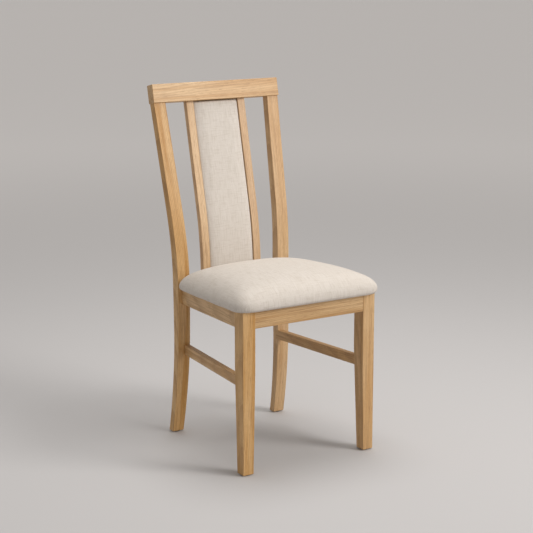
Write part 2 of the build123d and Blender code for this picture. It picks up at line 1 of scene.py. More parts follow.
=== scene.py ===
import bpy
import math
import numpy as np
from mathutils import Euler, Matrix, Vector


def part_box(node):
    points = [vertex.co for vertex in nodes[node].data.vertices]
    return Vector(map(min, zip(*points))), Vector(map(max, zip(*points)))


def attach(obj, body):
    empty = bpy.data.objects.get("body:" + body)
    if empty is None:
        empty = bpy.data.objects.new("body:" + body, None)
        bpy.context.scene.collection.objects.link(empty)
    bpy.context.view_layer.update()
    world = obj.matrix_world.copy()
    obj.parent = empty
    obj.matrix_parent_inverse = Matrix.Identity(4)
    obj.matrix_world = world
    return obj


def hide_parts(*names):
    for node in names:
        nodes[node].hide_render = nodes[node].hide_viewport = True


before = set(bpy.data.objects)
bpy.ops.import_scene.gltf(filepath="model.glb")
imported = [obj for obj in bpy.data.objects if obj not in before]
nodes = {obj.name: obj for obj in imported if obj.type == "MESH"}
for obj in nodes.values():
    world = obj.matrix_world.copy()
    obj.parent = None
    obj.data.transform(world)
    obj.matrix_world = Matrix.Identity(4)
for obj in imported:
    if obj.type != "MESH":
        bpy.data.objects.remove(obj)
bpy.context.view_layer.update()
print("frame loaded with", len(nodes), "nodes")

# where the chair stands in its own box: the legs' front faces and the raked plane the pad lies on
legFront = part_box("front_leg_left")[0].y
seatPlane = {"frontHeight": 0.4395, "fall": 0.0406}


def seatHeight(y):
    # the plane falls evenly from its height at the front legs' front face
    return seatPlane["frontHeight"] - seatPlane["fall"] * (y - legFront)


# node helpers

def addNode(tree, kind, links=None, **settings):
    node = tree.nodes.new(kind)
    for name, value in settings.items():
        setattr(node, name, value)
    for socket, value in (links or {}).items():
        if isinstance(value, bpy.types.NodeSocket):
            tree.links.new(value, node.inputs[socket])
        else:
            node.inputs[socket].default_value = value
    return node


def calc(tree, operation, a, b=0.0, c=0.0):
    return addNode(tree, "ShaderNodeMath", {0: a, 1: b, 2: c}, operation=operation).outputs[0]


def stretched(tree, vector, scale):
    return addNode(tree, "ShaderNodeVectorMath", {0: vector, 1: scale}, operation="MULTIPLY").outputs[0]


def noise(tree, vector, scale, detail, roughness=0.5):
    links = {"Vector": stretched(tree, vector, scale), "Scale": 1.0, "Detail": detail, "Roughness": roughness}
    return addNode(tree, "ShaderNodeTexNoise", links).outputs[0]


def between(tree, value, low, high, toLow=0.0, toHigh=1.0):
    links = {"Value": value, "From Min": low, "From Max": high, "To Min": toLow, "To Max": toHigh}
    return addNode(tree, "ShaderNodeMapRange", links, interpolation_type="SMOOTHSTEP").outputs[0]


def blendColour(tree, share, first, second):
    links = {0: share, 6: first, 7: second}
    return addNode(tree, "ShaderNodeMix", links, data_type="RGBA").outputs[2]


def newMaterial(name):
    material = bpy.data.materials.new(name)
    material.use_nodes = True
    tree = material.node_tree
    return material, tree, tree.nodes["Principled BSDF"]


def bumped(tree, shader, height, distance, strength):
    links = {"Height": height, "Distance": distance, "Strength": strength}
    tree.links.new(addNode(tree, "ShaderNodeBump", links).outputs[0], shader.inputs["Normal"])


def rgb(*values):
    return (*values, 1.0)


def paint(node, material):
    mesh = nodes[node].data
    mesh.materials.clear()
    mesh.materials.append(material)


# oak: rings round a pith that lies outside the board and leans a little, so faces show long pointed arches
oak = {
    "pale": rgb(0.690, 0.468, 0.246),
    "tan": rgb(0.595, 0.360, 0.155),
    "amber": rgb(0.485, 0.256, 0.080),
    "brown": rgb(0.320, 0.162, 0.056),
    "pore": rgb(0.20, 0.10, 0.04),
    "ringWidth": 0.0048, "pithLean": 0.045, "wander": 0.020,
    "amberShare": 0.78, "lateShare": 0.36, "streakShare": 0.55, "strokeShare": 0.46,
    "fibreShare": 0.26, "rayShare": 0.16, "poreShare": 0.42, "poreLimit": 0.67, "springPores": -0.11,
    "poreDepth": 0.00025, "fibreHeight": 0.3, "bump": 0.35,
    "roughness": 0.46, "poreRoughness": 0.22, "fibreRoughness": 0.10,
    "coat": 0.20, "coatRoughness": 0.28, "specular": 0.42,
}

# each pattern's cycles per metre across, across and along the grain, then its detail and roughness
oakPattern = {
    "wanderAcross": ((7, 7, 1.6), 3),
    "wanderUpward": ((5, 9, 2.3), 2),
    "fibres": ((850, 850, 13), 2),
    "bands": ((60, 60, 2.1), 3),
    "streaks": ((230, 230, 7.0), 3, 0.6),
    "strokes": ((480, 480, 34), 1),
    "cloud": ((13, 13, 2.2), 2),
    "pores": ((1500, 1500, 55), 1),
    "rays": ((310, 55, 120), 1),
}


# the bent members: grain follows the curve of the back, the sweep of the foot and the splay above the seat
bend = {
    "backHeight": 0.440, "backRun": 0.2, "backRadius": 0.898,
    "footHeight": 0.299, "footRadius": 1.41, "splay": 0.040,
}


def straightened(tree, coords, splay):
    # y loses run squared over twice the radius, both above, for the back, and below, for the foot; the back then
    # goes on straight at the slope it has reached, and x loses the height above the seat times the splay
    x, y, z = addNode(tree, "ShaderNodeSeparateXYZ", {0: coords}).outputs
    above = calc(tree, "MAXIMUM", calc(tree, "SUBTRACT", z, bend["backHeight"]), 0.0)
    curved = calc(tree, "MINIMUM", above, bend["backRun"])
    slope = bend["backRun"] / bend["backRadius"]
    beyond = calc(tree, "MULTIPLY", calc(tree, "SUBTRACT", above, curved), slope)
    squared = calc(tree, "MULTIPLY", curved, curved)
    back = calc(tree, "MULTIPLY_ADD", squared, 0.5 / bend["backRadius"], beyond)
    below = calc(tree, "MAXIMUM", calc(tree, "SUBTRACT", bend["footHeight"], z), 0.0)
    foot = calc(tree, "MULTIPLY", calc(tree, "MULTIPLY", below, below), 0.5 / bend["footRadius"])
    y = calc(tree, "SUBTRACT", y, calc(tree, "ADD", back, foot))
    x = calc(tree, "SUBTRACT", x, calc(tree, "MULTIPLY", above, splay))
    return addNode(tree, "ShaderNodeCombineXYZ", {0: x, 1: y, 2: z}).outputs[0]


def oakMaterial(name, node, turn, seed, pith, tone=0.0, warm=1.0, figure=1.0, bent=None):
    # rings: the distance from the pith line, divided by the ring width, of which only the fraction counts
    material, tree, shader = newMaterial(name)
    low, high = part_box(node)
    middle = (low + high) / 2
    coords = addNode(tree, "ShaderNodeTexCoord").outputs["Object"]
    if bent is not None:
        coords = straightened(tree, coords, bent)
        middle.y = low.y
    middle.rotate(Euler(turn))
    # the board's middle goes to the pattern's middle and its length to the pattern's z
    start = Vector((seed * 0.013, -seed * 0.007, seed * 0.61)) - middle
    links = {"Vector": coords, "Location": start, "Rotation": turn}
    place = addNode(tree, "ShaderNodeMapping", links).outputs[0]
    x, y, z = addNode(tree, "ShaderNodeSeparateXYZ", {0: place}).outputs

    wander = [noise(tree, place, *oakPattern[side]) for side in ("wanderAcross", "wanderUpward")]
    bendA, bendB = [calc(tree, "MULTIPLY_ADD", wander[i], oak["wander"], pith[i]) for i in (0, 1)]
    across = calc(tree, "ADD", x, calc(tree, "MULTIPLY_ADD", z, oak["pithLean"], bendA))
    upward = calc(tree, "ADD", y, bendB)
    squares = [calc(tree, "MULTIPLY", side, side) for side in (across, upward)]
    radius = calc(tree, "SQRT", calc(tree, "ADD", *squares))
    growth = calc(tree, "FRACT", calc(tree, "DIVIDE", radius, oak["ringWidth"]))
    # each ring darkens slowly to its late wood and drops back at the next spring
    lateWood = calc(tree, "MULTIPLY", between(tree, growth, 0.25, 0.93), between(tree, growth, 1.0, 0.95))
    springWood = calc(tree, "SUBTRACT", 1.0, between(tree, growth, 0.0, 0.35))

    names = ("fibres", "bands", "streaks", "strokes", "cloud", "pores", "rays")
    fibres, bands, streaks, strokes, cloud, poreField, rayField = [
        noise(tree, place, *oakPattern[name]) for name in names]
    poreLimit = calc(tree, "MULTIPLY_ADD", springWood, oak["springPores"], oak["poreLimit"])
    pores = between(tree, calc(tree, "SUBTRACT", poreField, poreLimit), 0.0, 0.05)
    rays = between(tree, rayField, 0.63, 0.70)

    # each layer's share of the colour it blends in, from the first to the last
    colour = blendColour(tree, between(tree, cloud, 0.35, 0.68), oak["pale"], oak["tan"])
    layers = (
        (between(tree, bands, 0.46, 0.68, 0.0, oak["amberShare"] * figure), "amber"),
        (calc(tree, "MULTIPLY", lateWood, oak["lateShare"] * figure), "brown"),
        (between(tree, streaks, 0.50, 0.70, 0.0, oak["streakShare"]), "brown"),
        (between(tree, strokes, 0.60, 0.72, 0.0, oak["strokeShare"]), "brown"),
        (between(tree, fibres, 0.35, 0.75, 0.0, oak["fibreShare"]), "brown"),
        (calc(tree, "MULTIPLY", rays, oak["rayShare"]), "pale"),
        (calc(tree, "MULTIPLY", pores, oak["poreShare"]), "pore"),
    )
    for share, tint in layers:
        colour = blendColour(tree, share, colour, oak[tint])
    links = {"Color": colour, "Value": 1.0 + tone, "Saturation": warm}
    colour = addNode(tree, "ShaderNodeHueSaturation", links).outputs[0]
    tree.links.new(colour, shader.inputs["Base Color"])

    roughness = calc(tree, "MULTIPLY_ADD", pores, oak["poreRoughness"], oak["roughness"])
    roughness = calc(tree, "MULTIPLY_ADD", fibres, oak["fibreRoughness"], roughness)
    tree.links.new(roughness, shader.inputs["Roughness"])
    height = calc(tree, "SUBTRACT", calc(tree, "MULTIPLY", fibres, oak["fibreHeight"]), pores)
    bumped(tree, shader, height, oak["poreDepth"], oak["bump"])
    shader.inputs["Coat Weight"].default_value = oak["coat"]
    shader.inputs["Coat Roughness"].default_value = oak["coatRoughness"]
    shader.inputs["Specular IOR Level"].default_value = oak["specular"]
    return material


# how each board is turned to stand along the pattern's z, where its pith lies, and its own tone and warmth
alongX, upright = (0, -math.pi / 2, 0), (0, 0, 0)
slantLeft, slantRight = (math.pi / 2, math.radians(-6), 0), (math.pi / 2, math.radians(6), 0)
oakBoards = {
    "top_rail": dict(turn=alongX, seed=1.3, pith=(0.020, 0.062), tone=-0.01, warm=0.97, figure=0.75),
    "front_rail": dict(turn=alongX, seed=2.9, pith=(0.030, 0.075), tone=-0.07),
    "rear_rail": dict(turn=alongX, seed=4.1, pith=(0.050, 0.060)),
    "side_rail_left": dict(turn=slantLeft, seed=5.2, pith=(0.060, 0.055)),
    "side_rail_right": dict(turn=slantRight, seed=6.4, pith=(-0.060, 0.055)),
    "side_stretcher_left": dict(turn=slantLeft, seed=7.7, pith=(0.050, 0.060)),
    "side_stretcher_right": dict(turn=slantRight, seed=8.5, pith=(-0.050, 0.060)),
    "front_leg_left": dict(turn=upright, seed=9.6, pith=(0.050, 0.070), warm=1.08),
    "front_leg_right": dict(turn=upright, seed=12.4, pith=(0.065, -0.055), tone=0.03, warm=1.0),
    "rear_post_left": dict(
        turn=upright, seed=11.9, pith=(0.055, 0.060), tone=0.01, warm=1.08, figure=1.25, bent=-bend["splay"]),
    "rear_post_right": dict(
        turn=upright, seed=13.1, pith=(-0.060, 0.060), tone=0.01, warm=0.96, figure=1.2, bent=bend["splay"]),
    "back_stile_left": dict(turn=upright, seed=14.6, pith=(0.060, 0.050), tone=0.06, warm=0.92, bent=0.0),
    "back_stile_right": dict(turn=upright, seed=15.8, pith=(0.075, 0.040), tone=0.08, warm=0.85, bent=0.0),
}
for board, values in oakBoards.items():
    paint(board, oakMaterial("oak_" + board, board, **values))
print("oak on", len(oakBoards), "boards")


# unfinished beech for the corner blocks, short fine flecks and a sawn surface
beech = {
    "pale": rgb(0.62, 0.44, 0.29), "dark": rgb(0.45, 0.28, 0.17), "fleck": rgb(0.30, 0.16, 0.09),
    "fleckShare": 0.35, "relief": 0.0003, "bump": 0.4, "roughness": 0.72,
    "flecks": ((900, 900, 130), 1), "bands": ((120, 120, 4), 2), "sawMarks": ((8, 8, 700), 1),
}


def beechMaterial(name, turn):
    material, tree, shader = newMaterial(name)
    coords = addNode(tree, "ShaderNodeTexCoord").outputs["Object"]
    place = addNode(tree, "ShaderNodeMapping", {"Vector": coords, "Rotation": turn}).outputs[0]
    flecks = between(tree, noise(tree, place, *beech["flecks"]), 0.58, 0.68)
    bands = noise(tree, place, *beech["bands"])
    sawMarks = noise(tree, place, *beech["sawMarks"])
    colour = blendColour(tree, between(tree, bands, 0.3, 0.7), beech["pale"], beech["dark"])
    colour = blendColour(tree, calc(tree, "MULTIPLY", flecks, beech["fleckShare"]), colour, beech["fleck"])
    tree.links.new(colour, shader.inputs["Base Color"])
    bumped(tree, shader, calc(tree, "ADD", sawMarks, flecks), beech["relief"], beech["bump"])
    shader.inputs["Roughness"].default_value = beech["roughness"]
    return material


for side, angle in (("right", 45), ("left", -45)):
    beechCut = beechMaterial("beech_" + side, (0, 0, math.radians(angle)))
    for end in ("front", "rear"):
        paint("corner_block_" + end + "_" + side, beechCut)


# birch plywood, its plies showing as thin stripes through the board's thickness
plywood = {
    "face": rgb(0.66, 0.51, 0.33), "dark": rgb(0.47, 0.31, 0.17), "glue": rgb(0.28, 0.16, 0.08),
    "ply": 0.0015, "glueShare": 0.55, "relief": 0.0002, "bump": 0.3, "roughness": 0.65,
    "grain": ((3, 120, 120), 3),
}


def plywoodMaterial(name, turn):
    material, tree, shader = newMaterial(name)
    coords = addNode(tree, "ShaderNodeTexCoord").outputs["Object"]
    place = addNode(tree, "ShaderNodeMapping", {"Vector": coords, "Rotation": turn}).outputs[0]
    depth = addNode(tree, "ShaderNodeSeparateXYZ", {0: place}).outputs[2]
    stripe = calc(tree, "PINGPONG", depth, plywood["ply"])
    glue = between(tree, stripe, plywood["ply"] * 0.55, plywood["ply"] * 0.65, 0.0, plywood["glueShare"])
    grain = noise(tree, place, *plywood["grain"])
    colour = blendColour(tree, between(tree, grain, 0.35, 0.7), plywood["face"], plywood["dark"])
    colour = blendColour(tree, glue, colour, plywood["glue"])
    tree.links.new(colour, shader.inputs["Base Color"])
    bumped(tree, shader, grain, plywood["relief"], plywood["bump"])
    shader.inputs["Roughness"].default_value = plywood["roughness"]
    return material


paint("seat_board", plywoodMaterial("birch_seat_board", (math.atan(seatPlane["fall"]), 0, 0)))
paint("back_panel_board", plywoodMaterial("birch_back_board", (math.radians(84), 0, 0)))


# zinc plated steel with faint turning marks, and dark nylon with a moulded grain
steel = {
    "grey": rgb(0.58, 0.59, 0.57), "straw": rgb(0.70, 0.69, 0.62), "roughness": 0.22, "markRoughness": 0.25,
    "relief": 0.00005, "bump": 0.3, "marks": ((1800, 1800, 5000), 2), "patches": ((260, 260, 260), 2),
}
nylon = {
    "dark": rgb(0.060, 0.042, 0.030), "worn": rgb(0.105, 0.078, 0.056), "roughness": 0.38,
    "scuffRoughness": 0.3, "relief": 0.00006, "bump": 0.4,
    "grain": ((2600, 2600, 2600), 2), "scuffs": ((190, 190, 190), 3),
}


def metalMaterial(name):
    material, tree, shader = newMaterial(name)
    coords = addNode(tree, "ShaderNodeTexCoord").outputs["Object"]
    marks = noise(tree, coords, *steel["marks"])
    patches = noise(tree, coords, *steel["patches"])
    colour = blendColour(tree, patches, steel["grey"], steel["straw"])
    roughness = calc(tree, "MULTIPLY_ADD", marks, steel["markRoughness"], steel["roughness"])
    tree.links.new(colour, shader.inputs["Base Color"])
    tree.links.new(roughness, shader.inputs["Roughness"])
    bumped(tree, shader, marks, steel["relief"], steel["bump"])
    shader.inputs["Metallic"].default_value = 1.0
    return material


def nylonMaterial(name):
    material, tree, shader = newMaterial(name)
    coords = addNode(tree, "ShaderNodeTexCoord").outputs["Object"]
    grain = noise(tree, coords, *nylon["grain"])
    scuffs = noise(tree, coords, *nylon["scuffs"])
    colour = blendColour(tree, between(tree, scuffs, 0.4, 0.75), nylon["dark"], nylon["worn"])
    roughness = calc(tree, "MULTIPLY_ADD", scuffs, nylon["scuffRoughness"], nylon["roughness"])
    tree.links.new(colour, shader.inputs["Base Color"])
    tree.links.new(roughness, shader.inputs["Roughness"])
    bumped(tree, shader, grain, nylon["relief"], nylon["bump"])
    return material


zinc = metalMaterial("zinc_plate")
for node in ("corner_block_screws", "seat_screws", "cover_staples"):
    paint(node, zinc)
paint("floor_glides", nylonMaterial("glide_nylon"))
print("blocks, boards and fittings finished")


# oatmeal linen: crossing threads, each of uneven thickness and tone, read from the cloth's own map in metres
linen = {
    "light": rgb(0.715, 0.666, 0.618),
    "mid": rgb(0.640, 0.584, 0.525),
    "dark": rgb(0.465, 0.400, 0.330),
    "thread": 0.0013,
    "slubLength": 0.045,
    "sway": 0.0012,
    "gapShadeShare": 0.30, "coarseShare": 0.22, "mottleShare": 0.07,
    "relief": 0.00035, "coarseHeight": 0.9, "bump": 0.55,
    "roughness": 0.88, "specular": 0.25,
    "sheen": 0.22, "sheenRoughness": 0.45, "sheenTint": rgb(0.98, 0.94, 0.88),
    "swayPattern": ((70, 70, 1), 2), "mottle": ((26, 26, 1), 3),
    "coarseWarp": ((280, 30, 1), 2, 0.6), "coarseWeft": ((30, 280, 1), 2, 0.6),
}


def linenMaterial(name):
    material, tree, shader = newMaterial(name)
    cloth = addNode(tree, "ShaderNodeUVMap", uv_map="clothMap").outputs[0]
    u, v = addNode(tree, "ShaderNodeSeparateXYZ", {0: cloth}).outputs[:2]
    thread, slub = 1 / linen["thread"], 1 / linen["slubLength"]
    # threads wander sideways a little along their length
    sway = noise(tree, cloth, *linen["swayPattern"])
    warpPhase = calc(tree, "MULTIPLY", calc(tree, "MULTIPLY_ADD", sway, linen["sway"], u), math.pi * thread)
    weftPhase = calc(tree, "MULTIPLY", calc(tree, "MULTIPLY_ADD", sway, -linen["sway"], v), math.pi * thread)
    warp, weft = calc(tree, "SINE", warpPhase), calc(tree, "SINE", weftPhase)
    rounded = calc(tree, "ADD", calc(tree, "ABSOLUTE", warp), calc(tree, "ABSOLUTE", weft))
    # over and under: the product of the two waves changes sign from one crossing to the next
    weave = calc(tree, "MULTIPLY_ADD", calc(tree, "MULTIPLY", warp, weft), 0.5, rounded)
    # painted shade: the low gaps between the threads, where the weave's height is least, are darkened towards
    # the dark colour
    gapShade = between(tree, rounded, 0.75, 0.15)
    warpTone = noise(tree, cloth, (thread * 0.9, slub, 1), 2, 0.6)
    weftTone = noise(tree, cloth, (slub, thread * 0.9, 1), 2, 0.6)
    coarseWarp, coarseWeft, mottle = [
        noise(tree, cloth, *linen[name]) for name in ("coarseWarp", "coarseWeft", "mottle")]
    colour = blendColour(tree, between(tree, warpTone, 0.35, 0.75), linen["light"], linen["mid"])
    colour = blendColour(tree, between(tree, weftTone, 0.45, 0.80, 0.0, 0.6), colour, linen["mid"])
    coarse = [
        between(tree, field, 0.48, 0.68, 0.0, linen["coarseShare"]) for field in (coarseWarp, coarseWeft)]
    darker = (calc(tree, "ADD", *coarse),
              calc(tree, "MULTIPLY", gapShade, linen["gapShadeShare"]),
              between(tree, mottle, 0.40, 0.75, 0.0, linen["mottleShare"]))
    for share in darker:
        colour = blendColour(tree, share, colour, linen["dark"])
    tree.links.new(colour, shader.inputs["Base Color"])
    slubs = calc(tree, "ADD", coarseWarp, coarseWeft)
    height = calc(tree, "MULTIPLY_ADD", slubs, linen["coarseHeight"], weave)
    bumped(tree, shader, height, linen["relief"], linen["bump"])
    shader.inputs["Roughness"].default_value = linen["roughness"]
    shader.inputs["Specular IOR Level"].default_value = linen["specular"]
    shader.inputs["Sheen Weight"].default_value = linen["sheen"]
    shader.inputs["Sheen Roughness"].default_value = linen["sheenRoughness"]
    shader.inputs["Sheen Tint"].default_value = linen["sheenTint"]
    return material


# black non-woven lining: pressed fibres and small dimples
lining = {
    "dark": rgb(0.022, 0.022, 0.024), "light": rgb(0.060, 0.060, 0.064), "relief": 0.0003, "bump": 0.6,
    "roughness": 0.9, "sheen": 0.3, "fibres": ((1400, 500, 1), 3, 0.7), "dimples": ((420, 420, 1), 1),
}


def liningMaterial(name):
    material, tree, shader = newMaterial(name)
    cloth = addNode(tree, "ShaderNodeUVMap", uv_map="clothMap").outputs[0]
    fibres = noise(tree, cloth, *lining["fibres"])
    dimples = noise(tree, cloth, *lining["dimples"])
    colour = blendColour(tree, between(tree, fibres, 0.4, 0.7), lining["dark"], lining["light"])
    tree.links.new(colour, shader.inputs["Base Color"])
    bumped(tree, shader, calc(tree, "ADD", fibres, dimples), lining["relief"], lining["bump"])
    shader.inputs["Roughness"].default_value = lining["roughness"]
    shader.inputs["Sheen Weight"].default_value = lining["sheen"]
    return material


# mesh helpers

def meshPiece(name, points, faces, material):
    mesh = bpy.data.meshes.new(name)
    mesh.from_pydata(points.tolist(), [], faces)
    mesh.validate()
    piece = bpy.data.objects.new(name, mesh)
    bpy.context.scene.collection.objects.link(piece)
    mesh.materials.append(material)
    mesh.polygons.foreach_set("use_smooth", np.ones(len(mesh.polygons), bool))
    return piece


def vertexArray(mesh, what="co"):
    values = np.zeros(len(mesh.vertices) * 3, np.float32)
    mesh.vertices.foreach_get(what, values)
    return values.reshape(-1, 3).astype(float)


def setClothMap(mesh, uv):
    corners = np.zeros(len(mesh.loops), np.int32)
    mesh.loops.foreach_get("vertex_index", corners)
    layer = mesh.uv_layers.get("clothMap") or mesh.uv_layers.new(name="clothMap")
    layer.data.foreach_set("uv", uv[corners].astype(np.float32).ravel())


def ringFaces(rings, around):
    # quads between neighbouring rings of a closed tube, as arrays of corner numbers
    ring, side = np.meshgrid(np.arange(rings - 1), np.arange(around), indexing="ij")
    nextSide = (side + 1) % around
    quads = np.stack([ring * around + side, ring * around + nextSide,
                      (ring + 1) * around + nextSide, (ring + 1) * around + side], -1)
    return quads.reshape(-1, 4)


def lensShell(name, across, along, place, front, back, material):
    # two sheets over the same grid that meet along its border:
    # place puts (across, along, height) in the chair
    u, v = np.meshgrid(across, along, indexing="ij")
    border = (np.abs(u) >= 1) | (np.abs(v) >= 1)
    countU, countV = u.shape
    number = np.arange(countU * countV).reshape(countU, countV)
    behind = number.copy()
    behind[~border] = countU * countV + np.arange((~border).sum())
    frontPoints = place(u, v, front(u, v)).reshape(-1, 3)
    backPoints = place(u, v, back(u, v))[~border]

    def quads(index, flip):
        q = np.stack([index[:-1, :-1], index[1:, :-1], index[1:, 1:], index[:-1, 1:]], -1).reshape(-1, 4)
        return q[:, ::-1] if flip else q

    points = np.concatenate([frontPoints, backPoints])
    faces = np.concatenate([quads(number, False), quads(behind, True)])
    uvFront = np.stack([u.ravel(), v.ravel()], 1)
    uv = np.concatenate([uvFront, np.stack([u[~border], v[~border]], 1)])
    return meshPiece(name, points, faces.tolist(), material), uv


def applied(piece):
    # what the modifiers give becomes the mesh itself
    graph = bpy.context.evaluated_depsgraph_get()
    mesh = bpy.data.meshes.new_from_object(piece.evaluated_get(graph))
    piece.modifiers.clear()
    old, piece.data = piece.data, mesh
    bpy.data.meshes.remove(old)


stretch = {"steps": 20, "quality": 6, "mass": 0.3, "shearShare": 0.4, "bending": 1.5}


def puffed(piece, held, pressure, cap, stiffness):
    # the cover is blown up from inside while its stapled part is held, and no point moves further than cap
    before = vertexArray(piece.data)
    group = piece.vertex_groups.new(name="held")
    group.add(np.flatnonzero(held).tolist(), 1.0, "REPLACE")
    cloth = piece.modifiers.new("Cloth", "CLOTH")
    settings = cloth.settings
    settings.quality = stretch["quality"]
    settings.mass = stretch["mass"]
    settings.tension_stiffness = settings.compression_stiffness = stiffness
    settings.shear_stiffness = stiffness * stretch["shearShare"]
    settings.bending_stiffness = stretch["bending"]
    settings.vertex_group_mass = "held"
    settings.use_pressure = True
    settings.uniform_pressure_force = pressure
    settings.effector_weights.gravity = 0.0
    cloth.collision_settings.use_collision = False
    cloth.point_cache.frame_start, cloth.point_cache.frame_end = 1, stretch["steps"]
    for step in range(1, stretch["steps"] + 1):
        bpy.context.scene.frame_set(step)
    graph = bpy.context.evaluated_depsgraph_get()
    after = vertexArray(piece.evaluated_get(graph).data)
    piece.modifiers.remove(cloth)
    piece.vertex_groups.remove(group)
    bpy.context.scene.frame_set(1)
    moved = after - before
    length = np.linalg.norm(moved, axis=1, keepdims=True)
    moved *= np.minimum(1.0, cap / np.maximum(length, 1e-9))
    piece.data.vertices.foreach_set("co", (before + moved).astype(np.float32).ravel())
    piece.data.update()
    return float(length.max()), float(length.mean())


# seat cushion
cushion = {
    "frontHalf": 0.221, "rearHalf": 0.1845, "frontY": -0.008, "rearY": 0.371,
    "frontCorner": 0.036, "rearCorner": 0.026,
    "bulge": 0.010, "bulgeHeight": 0.011,
    "edgeHeight": 0.043, "crown": 0.0365, "crownPower": 3.0, "roll": 0.058,
    "outlineSamples": 96, "hub": 0.02, "underRings": 24, "sideRings": 9,
    "shoulder": 0.028, "shoulderRings": 14, "shoulderEase": 1.6,
    "inside": 0.19, "insideRings": 34, "insideEnd": 0.985,
    "voxel": 0.005, "pressure": 1.6, "cap": 0.0014, "stiffness": 22.0, "heldHeight": 0.0045,
    "gathers": 0.0007, "gatherCorner": 0.03, "gatherWidth": 0.55, "gatherTop": 0.020, "gatherFade": 0.014,
    "gatherHole": 0.012, "gatherWaves": 26, "halfway": 0.18,
    "flatHeight": 0.0012, "sideDrop": 0.045,
}


def cushionOutline():
    # a trapezium with round corners: each sample is an arc centre, that arc's radius and an outward angle
    c = cushion
    slant = math.atan2(c["frontHalf"] - c["rearHalf"], c["rearY"] - c["frontY"])
    front, rear = c["frontCorner"], c["rearCorner"]
    frontX = c["frontHalf"] - front * (1 + math.sin(slant)) / math.cos(slant)
    rearX = c["rearHalf"] - rear * (1 - math.sin(slant)) / math.cos(slant)
    frontY, rearY = c["frontY"] + front, c["rearY"] - rear
    quarter = math.pi / 2
    arcs = [(frontX, frontY, front, -quarter, slant),
            (rearX, rearY, rear, slant, quarter),
            (-rearX, rearY, rear, quarter, math.pi - slant),
            (-frontX, frontY, front, math.pi - slant, 3 * quarter)]
    centres, radii, angles = [], [], []
    for number, (x, y, r, start, end) in enumerate(arcs):
        nextX, nextY, nextR = arcs[(number + 1) % 4][:3]
        turn = np.linspace(0, 1, c["outlineSamples"] // 4)[:, None]
        centres += [np.repeat([[x, y]], len(turn), 0),
                    np.array([x, y]) + turn[1:-1] * (nextX - x, nextY - y)]
        radii += [np.full(len(turn), r), r + turn[1:-1, 0] * (nextR - r)]
        angles += [start + turn[:, 0] * (end - start), np.full(len(turn) - 2, end)]
    return np.concatenate(centres), np.concatenate(radii), np.concatenate(angles)


def cushionRing(outline, grow):
    # every sample lies off its arc centre by the arc's radius plus grow, along its outward angle
    centres, radii, angles = outline
    return centres + (radii + grow)[:, None] * np.stack([np.cos(angles), np.sin(angles)], 1)


def cushionShape():
    # rings from the middle of the underside, round the swelling edge and over the domed top to its middle:
    # height is a quarter ellipse rise over the roll, plus the crown times one less the cube of the share of
    # the way out to the side, times the same for the share of the way to the front or rear
    c, outline = cushion, cushionOutline()
    middle = np.array([0.0, (c["frontY"] + c["rearY"]) / 2])
    halfY = (c["rearY"] - c["frontY"]) / 2 + c["bulge"]
    rings, heights = [], []
    base = cushionRing(outline, 0.0)
    for share in np.linspace(c["hub"], 1.0, c["underRings"]):
        rings.append(middle + share * (base - middle))
        heights.append(np.zeros(len(base)))
    for turn in np.linspace(0, math.pi / 2, c["sideRings"])[1:]:
        rings.append(cushionRing(outline, c["bulge"] * math.sin(turn)))
        heights.append(np.full(len(base), c["bulgeHeight"] * (1 - math.cos(turn))))
    shoulder = c["shoulder"]
    inner = cushionRing(outline, c["bulge"] - shoulder)
    overShoulder = shoulder * np.linspace(0, 1, c["shoulderRings"])[1:] ** c["shoulderEase"]
    overTop = shoulder + c["inside"] * np.linspace(0, c["insideEnd"], c["insideRings"])[1:]
    taper = (c["rearHalf"] - c["frontHalf"]) / (c["rearY"] - c["frontY"])
    for depth in np.concatenate([overShoulder, overTop]):
        if depth <= shoulder:
            ring = cushionRing(outline, c["bulge"] - depth)
        else:
            ring = middle + (1 - (depth - shoulder) / c["inside"]) * (inner - middle)
        halfX = c["frontHalf"] + c["bulge"] + (ring[:, 1] - c["frontY"]) * taper
        sideways = np.minimum(np.abs(ring[:, 0]) / halfX, 1)
        lengthways = np.minimum(np.abs(ring[:, 1] - middle[1]) / halfY, 1)
        rise = math.sqrt(1 - (1 - min(depth / c["roll"], 1)) ** 2)
        dome = (1 - sideways ** c["crownPower"]) * (1 - lengthways ** c["crownPower"])
        rings.append(ring)
        heights.append(c["bulgeHeight"] + (c["edgeHeight"] - c["bulgeHeight"]) * rise + c["crown"] * dome)
    flat = np.concatenate(rings)
    points = np.column_stack([flat[:, 0], flat[:, 1] + legFront, np.concatenate(heights)])
    points[:, 2] += seatHeight(points[:, 1])
    around, count = len(base), len(rings)
    faces = ringFaces(count, around).tolist()
    faces += [list(range(around))[::-1], list(range((count - 1) * around, count * around))]
    return points, faces


